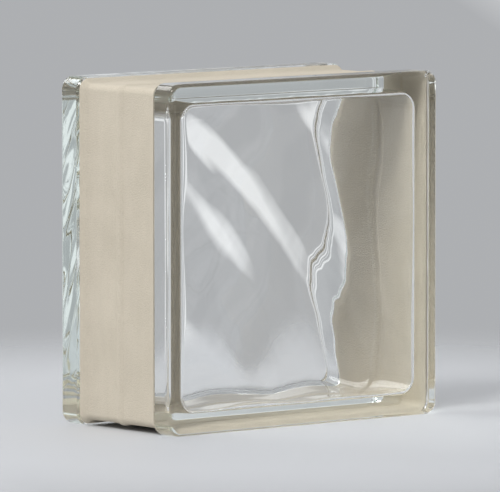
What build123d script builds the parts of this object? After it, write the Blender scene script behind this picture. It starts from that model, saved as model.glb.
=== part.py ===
from build123d import *
import math
import os

# A hollow glass block for building walls, standing on its edge as it is laid.
# Millimetres. +Z is up, the front face looks along -Y, and the origin is at the middle of the underside.

# Outside of the block
width = 190.0
height = 190.0
thickness = 95.0
corner_radius = 7.0
face_edge_radius = 2.5

# Mortar channel round the edge, between the two full-size lips
lip = 14.0
channel_depth = 3.5
shoulder = 6.0
lip_edge_radius = 1.0
bead_width = 6.0
bead_height = 0.9
coating = 0.3
coating_start = 1.0

# Glass of each pressed half: the face pane, and the edge wall at the seam
pane = 9.0
edge_wall = 6.5
draft_angle = 2.0
cavity_corner_radius = 11.0
cavity_edge_radius = 5.0
inner_bead_width = 6.0
inner_bead_height = 0.6

# Relief on the inner side of the pane: two trains of waves that add up.
# Each has a half height, a crest-to-crest length, a heading in degrees, a shift and a bow of its crests.
swell_height = 0.6
swell_length = 58.0
swell_heading = 38.0
swell_shift = 12.0
swell_bow = 0.0016
roll_height = 0.4
roll_length = 92.0
roll_heading = -14.0
roll_shift = 30.0
roll_bow = -0.0012

# Spacing of the points through which the wavy surface is drawn
relief_spacing = 8.0
# How far the plunger's flat end stands past the highest wave before the waves are cut into it
relief_margin = 0.4
# How far cutting shapes pass the glass, and how exactly faces and edges are picked out by their place
overrun = 6.0
tolerance = 0.001

half_depth = thickness / 2
opening_width = width - 2 * (channel_depth + edge_wall)
opening_height = height - 2 * (channel_depth + edge_wall)
relief_limit = swell_height + roll_height + relief_margin

# Seam plane: upright through the middle of the block, facing the front
seam = Plane(origin=(0, 0, height / 2), x_dir=(1, 0, 0), z_dir=(0, -1, 0))


def wave(across, up, half_height, length, heading, shift, bow):
    """Height of one train of waves at a point of the pane, measured from the pane's middle."""
    angle = math.radians(heading)
    along_travel = across * math.cos(angle) + up * math.sin(angle)
    along_crest = up * math.cos(angle) - across * math.sin(angle)
    travelled = along_travel - shift + bow * along_crest**2
    return half_height * math.cos(2 * math.pi * travelled / length)


def relief(across, up):
    """How much thicker than its mean the pane is at a point, measured from the pane's middle."""
    swell = wave(across, up, swell_height, swell_length, swell_heading, swell_shift, swell_bow)
    roll = wave(across, up, roll_height, roll_length, roll_heading, roll_shift, roll_bow)
    return swell + roll


def evenly_spaced(reach):
    """Positions from -reach to reach, no further apart than the relief's spacing."""
    steps = math.ceil(2 * reach / relief_spacing)
    return [reach * (2 * step / steps - 1) for step in range(steps + 1)]


def rounded_loop(across, up, radius):
    """Closed path in the seam plane round a rectangle with rounded corners."""
    with BuildLine(seam) as loop:
        FilletPolyline((0, -up / 2), (across / 2, -up / 2), (across / 2, up / 2), (0, up / 2), radius=radius)
        mirror(about=Plane.YZ)
    return loop.wire()


def section_across(path):
    """Plane across a path: first direction front to back, second direction towards the block's middle."""
    return Plane(origin=path @ 0, x_dir=(0, 1, 0), z_dir=path % 0)


# Mortar channel: its section across the rim runs from lip to lip, with a rounded bead on the seam
rim = rounded_loop(width, height, corner_radius)
channel_side = half_depth - lip
bed_side = channel_side - shoulder
with BuildSketch(section_across(rim)) as channel_section:
    with BuildLine():
        bed = Polyline(
            (-bead_width / 2, channel_depth),
            (-bed_side, channel_depth),
            (-channel_side, 0),
            (-channel_side, -overrun),
            (channel_side, -overrun),
            (channel_side, 0),
            (bed_side, channel_depth),
            (bead_width / 2, channel_depth),
        )
        ThreePointArc(bed @ 1, (0, channel_depth - bead_height), bed @ 0)
    make_face()

# Low bead inside, where the melted rims pushed a little glass inwards
opening = rounded_loop(opening_width, opening_height, cavity_corner_radius)
with BuildSketch(section_across(opening)) as inner_bead_section:
    with BuildLine():
        base = Line((inner_bead_width / 2, 0), (-inner_bead_width / 2, 0))
        ThreePointArc(base @ 1, (0, inner_bead_height), base @ 0)
    make_face()

# Wavy inner surface of the front pane, drawn through points of the relief
pane_inside = half_depth - pane
relief_points = [
    [seam.from_local_coords((across, up, pane_inside - relief(across, up)))
     for across in evenly_spaced(opening_width / 2 + overrun)]
    for up in evenly_spaced(opening_height / 2 + overrun)
]
relief_face = Face.make_surface_from_array_of_points(relief_points)

# Inside of one half as its plunger leaves it: drafted sides, a rounded end and the waves cut into that end
with BuildPart() as plunger:
    with BuildSketch(seam):
        RectangleRounded(opening_width, opening_height, cavity_corner_radius)
    extrude(amount=pane_inside + relief_limit)
    sides = plunger.faces().filter_by(lambda face: abs(face.normal_at().Y) < tolerance)
    draft(sides, neutral_plane=seam, angle=draft_angle)
    fillet(plunger.faces().sort_by(Axis.Y)[0].edges(), radius=cavity_edge_radius)
    extrude(relief_face, amount=half_depth, dir=(0, 1, 0), mode=Mode.INTERSECT)
    sweep(inner_bead_section.sketch, path=opening, mode=Mode.SUBTRACT)

with BuildPart() as front_half:
    with BuildSketch(seam):
        RectangleRounded(width, height, corner_radius)
    extrude(amount=half_depth)
    fillet(front_half.faces().sort_by(Axis.Y)[0].edges(), radius=face_edge_radius)
    sweep(channel_section.sketch, path=rim, mode=Mode.SUBTRACT)
    lip_edges = front_half.edges().filter_by(lambda edge: abs(edge.center().Y + channel_side) < tolerance)
    fillet(lip_edges, radius=lip_edge_radius)
    add(plunger.part, mode=Mode.SUBTRACT)

# The second pressing comes from the same mould and is turned half round to close the first
with BuildPart() as back_half:
    add(front_half.part, rotation=(0, 0, 180))

# Film on the bed, the shoulders and the seam bead of the channel, ending below the lips' rounded edges
with BuildSketch(section_across(rim)) as coating_section:
    add(channel_section.sketch_local)
    offset(channel_section.sketch_local, amount=-coating, kind=Kind.INTERSECTION, mode=Mode.SUBTRACT)
    with Locations((0, -overrun)):
        Rectangle(thickness, overrun + coating_start, align=(Align.CENTER, Align.MIN), mode=Mode.SUBTRACT)

with BuildPart() as edge_coating:
    sweep(coating_section.sketch, path=rim)

front_half.part.label = "front_half"
back_half.part.label = "back_half"
edge_coating.part.label = "edge_coating"

os.makedirs("parts", exist_ok=True)
export_step(front_half.part, "parts/front_half.step")
export_step(back_half.part, "parts/back_half.step")
export_step(edge_coating.part, "parts/edge_coating.step")
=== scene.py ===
import math

import bpy
import numpy as np
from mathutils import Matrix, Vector


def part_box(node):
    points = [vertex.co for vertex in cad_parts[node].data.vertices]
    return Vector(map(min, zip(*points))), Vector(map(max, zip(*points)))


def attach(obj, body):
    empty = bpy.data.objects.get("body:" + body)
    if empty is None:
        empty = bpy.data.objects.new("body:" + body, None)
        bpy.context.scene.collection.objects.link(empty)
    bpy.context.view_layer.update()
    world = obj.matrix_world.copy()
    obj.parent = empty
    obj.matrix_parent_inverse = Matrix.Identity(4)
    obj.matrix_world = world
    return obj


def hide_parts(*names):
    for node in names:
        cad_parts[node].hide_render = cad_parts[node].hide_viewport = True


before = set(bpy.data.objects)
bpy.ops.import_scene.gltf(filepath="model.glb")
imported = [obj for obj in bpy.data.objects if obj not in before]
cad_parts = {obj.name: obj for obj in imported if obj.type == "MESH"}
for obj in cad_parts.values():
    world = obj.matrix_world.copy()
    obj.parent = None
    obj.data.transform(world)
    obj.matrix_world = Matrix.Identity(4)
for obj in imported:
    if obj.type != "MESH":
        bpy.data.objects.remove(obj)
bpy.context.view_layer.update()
MM = 0.001

# Sizes of the block in metres, and the draft of its cavity. The outside comes from the frame, and the
# sections are those of the source.
front_low, front_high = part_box("front_half")
half_width = (front_high.x - front_low.x) / 2
half_height = (front_high.z - front_low.z) / 2
half_depth = front_high.y - front_low.y
middle_height = (front_high.z + front_low.z) / 2
corner_radius = 7 * MM
face_edge_radius = 2.5 * MM
lip = 14 * MM
channel_depth = 3.5 * MM
shoulder = 6 * MM
lip_edge_radius = 1 * MM
bead_width = 6 * MM
bead_height = 0.9 * MM
coating = 0.3 * MM
coating_start = 1 * MM
pane = 9 * MM
edge_wall = 6.5 * MM
draft = math.radians(2)
cavity_corner_radius = 11 * MM
cavity_edge_radius = 5 * MM
relief_margin = 0.4 * MM
inner_bead_width = 6 * MM
inner_bead_height = 0.6 * MM

# Wave trains of the relief: half height, length, heading in degrees, shift, and bow of the crests per metre
SWELL = (0.6 * MM, 58 * MM, 38, 12 * MM, 1.6)
ROLL = (0.4 * MM, 92 * MM, -14, 30 * MM, -1.2)

# How far the crease between the waves and the cavity's rounded end is softened
crease = 0.8 * MM
# How deep the glass reaches into the film, so that no air is left between them
contact = 0.1 * MM
# How far inside the face's rounded edge the outer section begins
face_margin = 1 * MM
# How far below the film's edge the glass begins to reach into it
film_margin = 0.2 * MM

# Where the mortar channel's slopes start and end, measured from the seam, and how steep they are
channel_side = half_depth - lip
bed_side = channel_side - shoulder
slope = math.atan2(channel_depth, shoulder)

# Loops of the meshes: points along one side, and along half a corner
OUTSIDE_STEPS = (64, 5)
CAVITY_STEPS = (96, 7)

# Glass: refraction, tint through its depth, and what a shadow ray keeps on passing a surface
GLASS_IOR = 1.52
GLASS_TINT = (0.60, 0.90, 0.78, 1)
GLASS_TINT_DENSITY = 1.3
GLASS_SHADOW = (0.955, 0.957, 0.953, 1)

# Glass: how uneven it is all over, and how high its ripples are
UNEVEN_HEIGHT = 0.03 * MM
RIPPLE_HEIGHT = 0.15 * MM
# How fast the ripples change along the crests, where 1 is as fast as across them
RIPPLE_PACE = 0.15

# Film: its two tones, its grain, and the shares that grain, clouds and brush marks have in the tone
FILM_DARK = (0.555, 0.495, 0.393, 1)
FILM_LIGHT = (0.688, 0.617, 0.502, 1)
FILM_GRAIN_HEIGHT = 0.5 * MM
FILM_GRAIN_STRENGTH = 0.8
FILM_GRAIN_SHARE = 0.5
FILM_CLOUD_SHARE = 0.38
FILM_BRUSH_SHARE = 0.12
# How fast the brush marks change along X, Y and Z, where 1 is as fast as their noise
FILM_BRUSH_PACE = (0.25, 1.0, 0.25)

# Noises of glass and film: how many cells in a metre, levels of detail, and strength from level to level
GLASS_PATCHES = (60, 2, 0.5)
GLASS_UNEVENNESS = (45, 1, 0.5)
GLASS_RIPPLES = (70, 1, 0.5)
FILM_GRAIN = (1200, 3, 0.6)
FILM_CLOUDS = (40, 4, 0.6)
FILM_BRUSH_MARKS = (220, 3, 0.5)

# Range of each noise that is used, and the roughness that it is spread over. The film's sets its tones too.
GLASS_NOISE_RANGE = (0.35, 0.65)
GLASS_ROUGHNESS = (0.0, 0.02)
FILM_NOISE_RANGE = (0.3, 0.7)
FILM_ROUGHNESS = (0.75, 0.95)

# Camera: azimuth and elevation in degrees, as in the photograph, and distance in metres
VIEW = (320, 5, 4.3)
# Lens and sensor, in millimetres
LENS = 565
SENSOR = 36

# Floor: its colour, the distances between which it fades into the room, and the sides of its round outline
FLOOR_COLOUR = (0.58, 0.59, 0.61, 1)
FLOOR_ROUGHNESS = 0.6
FLOOR_FADE = (0.22, 0.55)
FLOOR_SIDES = 96

# Room: soft bright panels slant round it. They repeat so many times round it, their rise sets the slant, and
# the range is the part of each swing from dark to bright in which they come up. Together the first two put a
# gap between panels behind the block, in the camera's view and also straight from the front.
ROOM_COLOUR = (0.42, 0.43, 0.445, 1)
PANEL_COLOUR = (0.86, 0.875, 0.89, 1)
PANELS_ROUND = 22
PANELS_RISE = 32
PANEL_RANGE = (0.50, 0.80)

# Lamps: azimuth and elevation in degrees, distance and size in metres, power in watts
KEY_LAMP = (285, 48, 3.0, 0.9, 42)
WINDOW_LAMP = (190, 30, 3.8, 1.8, 40)

# How often light may turn in the glass before it is lost, and how many see-through layers it may pass
BOUNCES = 64
SEE_THROUGH_LAYERS = 32


def wave(across, up, wave_height, length, heading, shift, bow):
    """Height of one train of waves at points of the pane, measured from the pane's middle."""
    angle = math.radians(heading)
    along_travel = across * math.cos(angle) + up * math.sin(angle)
    along_crest = up * math.cos(angle) - across * math.sin(angle)
    travelled = along_travel - shift + bow * along_crest**2
    return wave_height * np.cos(2 * math.pi * travelled / length)


def relief(across, up):
    """How much thicker than its mean the front pane is, measured from the pane's middle."""
    return wave(across, up, *SWELL) + wave(across, up, *ROLL)


def bead_arc(width, height):
    """Radius and half angle of the arc over a bead."""
    radius = (height**2 + (width / 2) ** 2) / (2 * height)
    return radius, math.asin(width / 2 / radius)


def side_points(half_long, offset, radius, steps, corner_steps):
    """The lower side of a rounded rectangle, from the middle of one corner to the middle of the next."""
    bend = half_long - radius

    def arc(centre, start, end):
        angles = np.radians(np.linspace(start, end, corner_steps, endpoint=False))
        return np.stack([centre + radius * np.cos(angles), radius - offset + radius * np.sin(angles)], 1)

    across = np.linspace(-bend, bend, steps - 2 * corner_steps, endpoint=False)
    straight = np.stack([across, np.full_like(across, -offset)], 1)
    return np.concatenate([arc(-bend, 225, 270), straight, arc(bend, 270, 315)])


def inset_loop(size, inset, steps):
    """Points round a rounded rectangle, anticlockwise seen from the front, as many on each side.

    The size is that of the full rectangle: half its width, half its height and its corner radius.
    """
    half_across, half_up, radius = (length - inset for length in size)
    bottom = side_points(half_across, half_up, radius, *steps)
    quarter_turn = np.array([[0, 1], [-1, 0]])
    right = side_points(half_up, half_across, radius, *steps) @ quarter_turn
    return np.concatenate([bottom, right, -bottom, -right])


def patch_points(loop):
    """Fills a loop with a smooth grid of points."""
    steps = len(loop) // 4
    share = np.linspace(0, 1, steps + 1)
    ring = np.concatenate([loop, loop[:1]])
    bottom = ring[0:steps + 1]
    right = ring[steps:2 * steps + 1]
    top = ring[2 * steps:3 * steps + 1][::-1]
    left = ring[3 * steps:4 * steps + 1][::-1]
    u = share[None, :, None]
    v = share[:, None, None]
    between_sides = (1 - v) * bottom[None] + v * top[None] + (1 - u) * left[:, None] + u * right[:, None]
    lower_corners = (1 - u) * (1 - v) * bottom[0] + u * (1 - v) * bottom[-1]
    upper_corners = (1 - u) * v * top[0] + u * v * top[-1]
    return between_sides - (lower_corners + upper_corners)


def rim_of(grid):
    """The outermost entries of a grid, in the order of a loop."""
    return np.concatenate([grid[0, :-1], grid[:-1, -1], grid[-1, :0:-1], grid[:0:-1, 0]])


class Surface:
    """Points and faces of a piece, made of loops that follow each other along its section."""

    def __init__(self):
        self.points = []
        self.faces = []

    def add(self, plane_points, depth):
        """Adds points at a depth, a number or a function of the place, and returns their indices."""
        first = len(self.points)
        across, up = plane_points[..., 0].ravel(), plane_points[..., 1].ravel()
        y = depth(across, up) if callable(depth) else np.full_like(across, depth)
        self.points.extend(zip(across, y, up + middle_height))
        return np.arange(first, first + across.size).reshape(plane_points.shape[:-1])

    def quad(self, a, b, c, d, flip):
        """Adds a face, turned over where flip is true."""
        self.faces.append((a, d, c, b) if flip else (a, b, c, d))

    def band(self, first, second, flip=False):
        """Joins two loops of equally many points."""
        count = len(first)
        for i in range(count):
            j = (i + 1) % count
            self.quad(first[j], first[i], second[i], second[j], flip)

    def patch(self, grid, flip):
        """Covers a grid of points."""
        rows, columns = grid.shape
        for i in range(rows - 1):
            for j in range(columns - 1):
                self.quad(grid[i, j], grid[i, j + 1], grid[i + 1, j + 1], grid[i + 1, j], flip)

    def close(self, size, loops, steps, inside=False):
        """Adds a closed surface. Each loop is (inset, depth), and the first and last bound the patches."""
        (front_inset, front_depth), *between, (back_inset, back_depth) = loops
        front = self.add(patch_points(inset_loop(size, front_inset, steps)), front_depth)
        self.patch(front, inside)
        previous = rim_of(front)
        for inset, depth in between:
            current = self.add(inset_loop(size, inset, steps), depth)
            self.band(previous, current, inside)
            previous = current
        back = self.add(patch_points(inset_loop(size, back_inset, steps)), back_depth)
        self.patch(back, not inside)
        self.band(previous, rim_of(back), inside)

    def ring(self, size, loops, steps):
        """Adds a closed ring: loops of (inset, depth) that come back to the first."""
        made = [self.add(inset_loop(size, inset, steps), depth) for inset, depth in loops]
        for first, second in zip(made, made[1:] + made[:1]):
            self.band(first, second)

    def make_object(self, name):
        """Makes the object, smooth, with its shading led by its larger faces."""
        points = [tuple(map(float, point)) for point in self.points]
        faces = [tuple(map(int, face)) for face in self.faces]
        mesh = bpy.data.meshes.new(name)
        mesh.from_pydata(points, [], faces)
        mesh.shade_smooth()
        made = add_object(name, mesh)
        weighted = made.modifiers.new("face_weighted_normals", "WEIGHTED_NORMAL")
        weighted.keep_sharp = False
        return made


def add_object(name, data):
    """Makes an object of a mesh, a lamp or a camera and puts it into the scene."""
    made = bpy.data.objects.new(name, data)
    bpy.context.scene.collection.objects.link(made)
    return made


def mirrored(loops):
    """The same loops for the other half, from the seam outwards."""
    def other(depth):
        if callable(depth):
            return lambda across, up: -depth(-across, up)
        return -depth
    return [(inset, other(depth)) for inset, depth in reversed(loops)]


def both_halves(loops, seam_inset):
    """Loops from the front to the back, with one on the seam."""
    return loops + [(seam_inset, 0.0)] + mirrored(loops)


def channel_loops(growth, start, bead_steps=6, bed_steps=3):
    """Front half of the channel's section, pushed out by growth, from start below the lip to the seam."""
    out_y, out_inset = growth * math.sin(slope), -growth * math.cos(slope)
    start_y = -channel_side + start / math.tan(slope)
    corner_y = -bed_side + growth * math.tan(slope / 2)
    loops = [(start + out_inset, start_y + out_y)]
    loops.append(((start + channel_depth) / 2 + out_inset, (start_y - bed_side) / 2 + out_y))
    loops.append((channel_depth - growth, corner_y))
    curve, half_angle = bead_arc(bead_width, bead_height)
    centre = channel_depth - bead_height + curve
    radius = curve + growth
    bead_start = -radius * math.sin(half_angle)
    for step in range(1, bed_steps):
        loops.append((channel_depth - growth, corner_y + (bead_start - corner_y) * step / bed_steps))
    for step in range(bead_steps):
        angle = -half_angle * (1 - step / bead_steps)
        loops.append((centre - radius * math.cos(angle), radius * math.sin(angle)))
    return loops


def outside_loops(edge_steps=6, lip_steps=3):
    """Front half of the glass's outer section, from inside the face's edge to just before the seam."""
    loops = [(face_edge_radius + face_margin, -half_depth)]
    for step in range(edge_steps + 1):
        angle = math.pi / 2 * step / edge_steps
        loops.append((face_edge_radius * (1 - math.sin(angle)),
                      -half_depth + face_edge_radius * (1 - math.cos(angle))))
    tangent = lip_edge_radius * math.tan(slope / 2)
    for step in range(lip_steps + 1):
        angle = slope * step / lip_steps
        loops.append((lip_edge_radius * (1 - math.cos(angle)),
                      -channel_side - tangent + lip_edge_radius * math.sin(angle)))
    loops.append((coating_start, -channel_side + coating_start / math.tan(slope)))
    return loops + channel_loops(contact, coating_start + film_margin)


def soft_least(first, second, reach):
    """The lesser of two depths, with the crease where they meet rounded over the reach."""
    share = np.clip(0.5 + (second - first) / (2 * reach), 0, 1)
    return second * (1 - share) + first * share - reach * share * (1 - share)


def inside_loops(fillet_steps=16, wall_steps=5, bead_steps=4):
    """Front half of the cavity's section: the waves cut the rounded end, then the walls run to the seam."""
    pane_inside = half_depth - pane
    blank_end = pane_inside + SWELL[0] + ROLL[0] + relief_margin

    def waves_cut(blank_depth):
        return lambda across, up: -soft_least(pane_inside - relief(across, up), blank_depth, crease)

    loops = []
    for step in range(fillet_steps + 1):
        angle = math.pi / 2 * step / fillet_steps
        blank_depth = blank_end - cavity_edge_radius * (1 - math.cos(angle))
        inset = cavity_edge_radius * (1 - math.sin(angle)) + blank_depth * math.tan(draft)
        loops.append((inset, waves_cut(blank_depth)))
    wall_start = blank_end - cavity_edge_radius
    for step in range(1, wall_steps):
        depth = wall_start + (inner_bead_width / 2 - wall_start) * step / wall_steps
        loops.append((depth * math.tan(draft), -depth))
    curve, half_angle = bead_arc(inner_bead_width, inner_bead_height)
    for step in range(bead_steps):
        angle = -half_angle * (1 - step / bead_steps)
        loops.append((inner_bead_height - curve * (1 - math.cos(angle)), curve * math.sin(angle)))
    return loops


def make_glass():
    """Both halves as one piece: the outer surface, and the cavity's surface facing inwards."""
    glass = Surface()
    outside = both_halves(outside_loops(), channel_depth - bead_height - contact)
    glass.close((half_width, half_height, corner_radius), outside, OUTSIDE_STEPS)
    wall = channel_depth + edge_wall
    opening = (half_width - wall, half_height - wall, cavity_corner_radius)
    cavity = both_halves(inside_loops(), inner_bead_height)
    glass.close(opening, cavity, CAVITY_STEPS, inside=True)
    return glass.make_object("pressed_glass")


def make_film():
    """The film round the channel, as a closed ring of the coating's thickness."""
    film = Surface()
    under = both_halves(channel_loops(0.0, coating_start), channel_depth - bead_height)
    over = both_halves(channel_loops(coating, coating_start), channel_depth - bead_height - coating)
    film.ring((half_width, half_height, corner_radius), over + under[::-1], OUTSIDE_STEPS)
    return film.make_object("edge_film")


def new_material(name):
    """An empty material, with its nodes and links."""
    material = bpy.data.materials.new(name)
    material.use_nodes = True
    tree = material.node_tree
    tree.nodes.clear()
    return material, tree.nodes, tree.links


def object_position(nodes):
    """The place on the object that is shaded, in metres from its origin."""
    return nodes.new("ShaderNodeTexCoord").outputs["Object"]


def noise(nodes, links, position, kind):
    """A noise of one of the kinds set out above."""
    made = nodes.new("ShaderNodeTexNoise")
    for name, number in zip(("Scale", "Detail", "Roughness"), kind):
        made.inputs[name].default_value = number
    links.new(position, made.inputs["Vector"])
    return made.outputs["Fac"]


def spread(nodes, links, value, source, target, interpolation="LINEAR"):
    """Maps a value from one range to another."""
    made = nodes.new("ShaderNodeMapRange")
    made.interpolation_type = interpolation
    for name, number in zip(("From Min", "From Max", "To Min", "To Max"), source + target):
        made.inputs[name].default_value = number
    links.new(value, made.inputs["Value"])
    return made.outputs["Result"]


def math_node(nodes, links, operation, *values):
    """A math node whose values are numbers or outputs of other nodes."""
    made = nodes.new("ShaderNodeMath")
    made.operation = operation
    for socket, value in zip(made.inputs, values):
        if isinstance(value, (int, float)):
            socket.default_value = value
        else:
            links.new(value, socket)
    return made.outputs["Value"]


def two_tones(nodes, links, value, value_range, dark, light):
    """Turns a value into a colour between two tones."""
    ramp = nodes.new("ShaderNodeValToRGB")
    for element, position, colour in zip(ramp.color_ramp.elements, value_range, (dark, light)):
        element.position = position
        element.color = colour
    links.new(value, ramp.inputs["Fac"])
    return ramp.outputs["Color"]


def mixed_shaders(nodes, links, share, first, second):
    """Two shaders mixed, with the given share of the second."""
    mixed = nodes.new("ShaderNodeMixShader")
    links.new(share, mixed.inputs["Fac"])
    links.new(first.outputs["BSDF"], mixed.inputs[1])
    links.new(second.outputs["BSDF"], mixed.inputs[2])
    return mixed.outputs["Shader"]


def add_bump(nodes, links, shader, height, strength, distance):
    """Roughens a shader by a height, where a height of 1 stands for the distance in metres."""
    bump = nodes.new("ShaderNodeBump")
    bump.inputs["Strength"].default_value = strength
    bump.inputs["Distance"].default_value = distance
    links.new(height, bump.inputs["Height"])
    links.new(bump.outputs["Normal"], shader.inputs["Normal"])


def ripples(nodes, links, position):
    """Fine streaks along the crests of the swell, on the inner side of the panes and on the side walls."""
    parts = nodes.new("ShaderNodeSeparateXYZ")
    links.new(position, parts.inputs["Vector"])
    up = parts.outputs["Z"]
    # The back pane is the front one turned round, so its left and right change places
    side = math_node(nodes, links, "SIGN", parts.outputs["Y"])
    turn = math_node(nodes, links, "MULTIPLY", side, -1)
    across = math_node(nodes, links, "MULTIPLY", parts.outputs["X"], turn)
    heading = math.radians(SWELL[2])
    travel_across = math_node(nodes, links, "MULTIPLY", across, math.cos(heading))
    travel = math_node(nodes, links, "MULTIPLY_ADD", up, math.sin(heading), travel_across)
    crest_across = math_node(nodes, links, "MULTIPLY", across, -math.sin(heading))
    crest = math_node(nodes, links, "MULTIPLY_ADD", up, math.cos(heading), crest_across)
    turned = nodes.new("ShaderNodeCombineXYZ")
    links.new(travel, turned.inputs["X"])
    links.new(math_node(nodes, links, "MULTIPLY", crest, RIPPLE_PACE), turned.inputs["Y"])
    streaks = noise(nodes, links, turned.outputs["Vector"], GLASS_RIPPLES)
    # The two faces lie farther from the seam than the middle of a pane, and stay free of streaks
    depth = math_node(nodes, links, "ABSOLUTE", parts.outputs["Y"])
    rippled = math_node(nodes, links, "LESS_THAN", depth, half_depth - pane / 2)
    return math_node(nodes, links, "MULTIPLY", streaks, rippled)


def glass_material():
    """Clear glass, faintly green in depth and slightly uneven, with only a faint shadow."""
    material, nodes, links = new_material("pressed_clear_glass")
    position = object_position(nodes)
    shader = nodes.new("ShaderNodeBsdfPrincipled")
    shader.inputs["Base Color"].default_value = (1, 1, 1, 1)
    shader.inputs["Transmission Weight"].default_value = 1
    shader.inputs["IOR"].default_value = GLASS_IOR
    patches = noise(nodes, links, position, GLASS_PATCHES)
    roughness = spread(nodes, links, patches, GLASS_NOISE_RANGE, GLASS_ROUGHNESS)
    links.new(roughness, shader.inputs["Roughness"])
    rippled = math_node(nodes, links, "MULTIPLY", ripples(nodes, links, position), RIPPLE_HEIGHT)
    uneven = noise(nodes, links, position, GLASS_UNEVENNESS)
    height = math_node(nodes, links, "MULTIPLY_ADD", uneven, UNEVEN_HEIGHT, rippled)
    add_bump(nodes, links, shader, height, strength=1, distance=1)
    passing = nodes.new("ShaderNodeBsdfTransparent")
    passing.inputs["Color"].default_value = GLASS_SHADOW
    path = nodes.new("ShaderNodeLightPath")
    output = nodes.new("ShaderNodeOutputMaterial")
    surface = mixed_shaders(nodes, links, path.outputs["Is Shadow Ray"], shader, passing)
    links.new(surface, output.inputs["Surface"])
    tint = nodes.new("ShaderNodeVolumeAbsorption")
    tint.inputs["Color"].default_value = GLASS_TINT
    tint.inputs["Density"].default_value = GLASS_TINT_DENSITY
    links.new(tint.outputs["Volume"], output.inputs["Volume"])
    return material


def film_material():
    """A matt, sandy and faintly clouded coat with weak brush marks."""
    material, nodes, links = new_material("mortar_grip_film")
    position = object_position(nodes)
    shader = nodes.new("ShaderNodeBsdfPrincipled")
    slowed = nodes.new("ShaderNodeVectorMath")
    slowed.operation = "MULTIPLY"
    slowed.inputs[1].default_value = FILM_BRUSH_PACE
    links.new(position, slowed.inputs[0])
    brushed = noise(nodes, links, slowed.outputs["Vector"], FILM_BRUSH_MARKS)
    clouded = noise(nodes, links, position, FILM_CLOUDS)
    grain = noise(nodes, links, position, FILM_GRAIN)
    marked = math_node(nodes, links, "MULTIPLY", clouded, FILM_CLOUD_SHARE)
    marked = math_node(nodes, links, "MULTIPLY_ADD", brushed, FILM_BRUSH_SHARE, marked)
    marked = math_node(nodes, links, "MULTIPLY_ADD", grain, FILM_GRAIN_SHARE, marked)
    tone = two_tones(nodes, links, marked, FILM_NOISE_RANGE, FILM_DARK, FILM_LIGHT)
    links.new(tone, shader.inputs["Base Color"])
    roughness = spread(nodes, links, grain, FILM_NOISE_RANGE, FILM_ROUGHNESS)
    links.new(roughness, shader.inputs["Roughness"])
    add_bump(nodes, links, shader, grain, FILM_GRAIN_STRENGTH, FILM_GRAIN_HEIGHT)
    output = nodes.new("ShaderNodeOutputMaterial")
    links.new(shader.outputs["BSDF"], output.inputs["Surface"])
    return material


def floor_material():
    """A pale matt floor that turns see-through with the distance, so that it fades into the room."""
    material, nodes, links = new_material("pale_floor")
    shader = nodes.new("ShaderNodeBsdfPrincipled")
    shader.inputs["Base Color"].default_value = FLOOR_COLOUR
    shader.inputs["Roughness"].default_value = FLOOR_ROUGHNESS
    distance = nodes.new("ShaderNodeVectorMath")
    distance.operation = "LENGTH"
    links.new(object_position(nodes), distance.inputs[0])
    fading = spread(nodes, links, distance.outputs["Value"], FLOOR_FADE, (0, 1), "SMOOTHSTEP")
    beyond = nodes.new("ShaderNodeBsdfTransparent")
    output = nodes.new("ShaderNodeOutputMaterial")
    surface = mixed_shaders(nodes, links, fading, shader, beyond)
    links.new(surface, output.inputs["Surface"])
    return material


def make_floor():
    """A round floor that ends where it has faded."""
    mesh = bpy.data.meshes.new("floor")
    radius = FLOOR_FADE[1]
    turns = np.linspace(0, 2 * math.pi, FLOOR_SIDES, endpoint=False)
    points = [(radius * math.cos(turn), radius * math.sin(turn), 0) for turn in turns]
    mesh.from_pydata(points, [], [tuple(range(len(points)))])
    floor = add_object("floor", mesh)
    floor.data.materials.append(floor_material())


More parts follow.
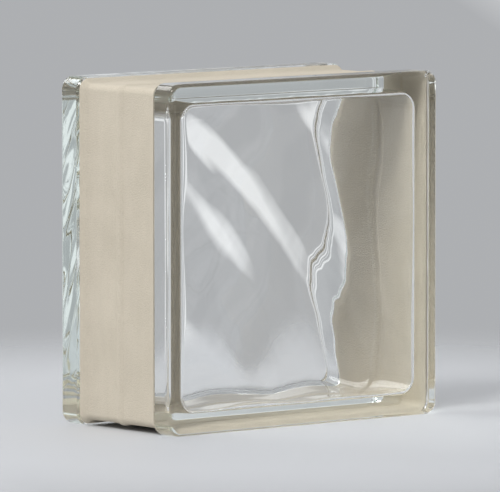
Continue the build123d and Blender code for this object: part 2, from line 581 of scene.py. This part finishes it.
def make_world():
    """A plain pale room. Soft bright panels slant round it, light the block and show in the glass."""
    world = bpy.data.worlds.new("studio")
    bpy.context.scene.world = world
    world.use_nodes = True
    nodes, links = world.node_tree.nodes, world.node_tree.links
    nodes.clear()
    direction = nodes.new("ShaderNodeTexCoord").outputs["Generated"]
    parts = nodes.new("ShaderNodeSeparateXYZ")
    links.new(direction, parts.inputs["Vector"])
    around = math_node(nodes, links, "ARCTAN2", parts.outputs["Y"], parts.outputs["X"])
    rise = math_node(nodes, links, "ARCSINE", parts.outputs["Z"])
    turned = math_node(nodes, links, "MULTIPLY", around, -PANELS_ROUND)
    slanted = math_node(nodes, links, "MULTIPLY_ADD", rise, PANELS_RISE, turned)
    panels = spread(nodes, links, math_node(nodes, links, "COSINE", slanted), (-1, 1), (0, 1))
    background = nodes.new("ShaderNodeBackground")
    tone = two_tones(nodes, links, panels, PANEL_RANGE, ROOM_COLOUR, PANEL_COLOUR)
    links.new(tone, background.inputs["Color"])
    output = nodes.new("ShaderNodeOutputWorld")
    links.new(background.outputs["Background"], output.inputs["Surface"])


def place(thing, azimuth, elevation, distance, centre):
    """Puts a lamp or the camera round the block and turns it to the centre. Azimuth 0 looks along +Y."""
    turn, rise = math.radians(azimuth), math.radians(elevation)
    away = Vector((math.sin(turn) * math.cos(rise), -math.cos(turn) * math.cos(rise), math.sin(rise)))
    thing.location = centre + away * distance
    thing.rotation_mode = "QUATERNION"
    thing.rotation_quaternion = (centre - thing.location).to_track_quat("-Z", "Y")


def make_lamp(name, azimuth, elevation, distance, size, power, centre):
    """A soft square lamp that the camera doesn't see."""
    lamp = bpy.data.lights.new(name, "AREA")
    lamp.shape = "SQUARE"
    lamp.size = size
    lamp.energy = power
    made = add_object(name, lamp)
    place(made, azimuth, elevation, distance, centre)
    made.visible_camera = False


def make_camera(centre):
    """The camera, at the photograph's viewing angle."""
    lens = bpy.data.cameras.new("camera")
    lens.lens = LENS
    lens.sensor_width = SENSOR
    camera = add_object("camera", lens)
    place(camera, *VIEW, centre)
    bpy.context.scene.camera = camera


glass = make_glass()
glass.data.materials.append(glass_material())
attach(glass, "root")
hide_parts("front_half", "back_half")

film = make_film()
film.data.materials.append(film_material())
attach(film, "root")
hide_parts("edge_coating")

centre = Vector((0, 0, middle_height))
make_floor()
make_world()
make_lamp("key", *KEY_LAMP, centre)
make_lamp("window", *WINDOW_LAMP, centre)
make_camera(centre)

scene = bpy.context.scene
scene.view_settings.view_transform = "Standard"
scene.cycles.max_bounces = BOUNCES
scene.cycles.transmission_bounces = BOUNCES
scene.cycles.glossy_bounces = BOUNCES
scene.cycles.transparent_max_bounces = SEE_THROUGH_LAYERS
